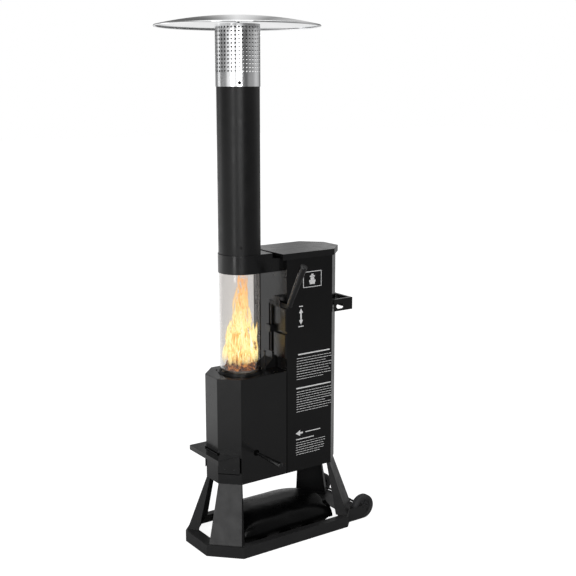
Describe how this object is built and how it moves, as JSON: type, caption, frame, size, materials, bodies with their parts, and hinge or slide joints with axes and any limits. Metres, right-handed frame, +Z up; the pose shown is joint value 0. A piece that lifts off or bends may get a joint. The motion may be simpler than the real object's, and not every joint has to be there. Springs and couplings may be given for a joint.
{
  "type": "pellet patio heater",
  "caption": "Free-standing pellet patio heater: octagonal weighted base, firebox with glass flame tube, flue with perforated sleeve and round reflector, tall pellet hopper with feed lever.",
  "frame": {"origin": "on the ground plane, at the centre of the octagonal base ring, on the underside of its middle strap", "axes": "+X towards the pellet hopper and the transport wheels, -X towards the flame column; -Y towards the side with the feed lever; +Z up"},
  "size_m": [0.9136, 0.652, 2.16],
  "materials": {
    "black_coat": "semi-gloss black powder coat with a fine orange-peel texture",
    "black_leg_coat": "satin black powder coat on the stand",
    "bright_steel": "bright stainless sheet, polished, with fine rolling lines",
    "steel": "plain zinc-plated steel",
    "hot_steel": "heat-browned bare steel",
    "glass": "clear borosilicate tube, polished edges",
    "gasket": "woven glass-fibre rope gasket",
    "rubber": "solid black rubber with moulded ribs",
    "hub_plastic": "moulded black plastic, satin",
    "grip_plastic": "black phenolic grip, satin",
    "bag_film": "glossy black plastic film with creases"
  },
  "bodies": {
    "root": {"base_ring": "black_leg_coat", "bag_straps": "black_leg_coat", "sandbag": "bag_film", "leg_front_near": "black_leg_coat", "leg_front_far": "black_leg_coat", "leg_back_near": "black_leg_coat", "leg_back_far": "black_leg_coat", "axle": "black_leg_coat", "axle_brackets": "black_leg_coat", "axle_collars": "black_leg_coat", "body_floor": "black_coat", "firebox_shell": "black_coat", "firebox_top_plate": "black_coat", "hopper_shell": "black_coat", "face_pans": "black_coat", "hopper_slope": "black_coat", "hinge_wall_leaves": "black_coat", "hinge_pins": "steel", "collar_housing": "black_coat", "collar_cover": "black_coat", "glass_seat_ring": "black_coat", "glass_tube": "glass", "glass_gaskets": "gasket", "chimney_pipe": "black_coat", "pipe_spigot": "black_coat", "perforated_sleeve": "bright_steel", "reflector": "bright_steel", "reflector_fixings": "bright_steel", "column_screws": "steel", "fire_pot": "hot_steel", "fire_grate": "hot_steel", "ash_tube": "hot_steel", "ash_slide_frame": "steel", "pull_rod_bush": "steel", "drawer_runners": "black_coat", "feed_chute": "black_coat", "rod_guide": "black_coat", "gate_covers": "black_coat", "pivot_bracket": "black_coat", "pivot_pin": "black_coat", "front_handle": "black_coat", "rear_handle": "black_coat", "body_screws": "steel"},
    "lid": {"hopper_lid": "black_coat", "hinge_lid_leaves": "black_coat"},
    "feed_lever": {"lever_arm": "black_coat", "lever_grip": "grip_plastic"},
    "feed_slide": {"feed_rod": "steel", "feed_gate": "black_coat"},
    "ash_riddle": {"ash_slide": "steel", "ash_pull_rod": "steel", "ash_pull_grip": "grip_plastic"},
    "drawer": {"ash_drawer": "black_coat", "drawer_panel": "black_coat", "drawer_pull": "black_coat"},
    "wheel_near": {"wheel_hub_near": "hub_plastic", "wheel_tyre_near": "rubber"},
    "wheel_far": {"wheel_hub_far": "hub_plastic", "wheel_tyre_far": "rubber"}
  },
  "joints": [
    {"name": "lid_hinge", "type": "hinge", "parent": "root", "child": "lid", "pos_m": [0, 0.134, 1.196], "axis": [-1, 0, 0], "range_deg": [0, 100]},
    {"name": "lever_pivot", "type": "hinge", "parent": "root", "child": "feed_lever", "pos_m": [-0.013, -0.08, 1.012], "axis": [1, 0, 0], "range_deg": [0, 30]},
    {"name": "gate_lift", "type": "slide", "parent": "root", "child": "feed_slide", "axis": [0, 0, 1], "range_m": [0, 0.031]},
    {"name": "riddle_pull", "type": "slide", "parent": "root", "child": "ash_riddle", "axis": [0, -1, 0], "range_m": [0, 0.036]},
    {"name": "drawer_pull_out", "type": "slide", "parent": "root", "child": "drawer", "axis": [0, 1, 0], "range_m": [0, 0.15]},
    {"name": "wheel_near_spin", "type": "hinge", "parent": "root", "child": "wheel_near", "pos_m": [0.381, -0.156, 0.056], "axis": [0, 1, 0], "continuous": true},
    {"name": "wheel_far_spin", "type": "hinge", "parent": "root", "child": "wheel_far", "pos_m": [0.381, 0.156, 0.056], "axis": [0, 1, 0], "continuous": true}
  ],
  "couplings": [
    {"joint": "gate_lift", "follows": "lever_pivot", "m_per_rad": 0.058}
  ]
}
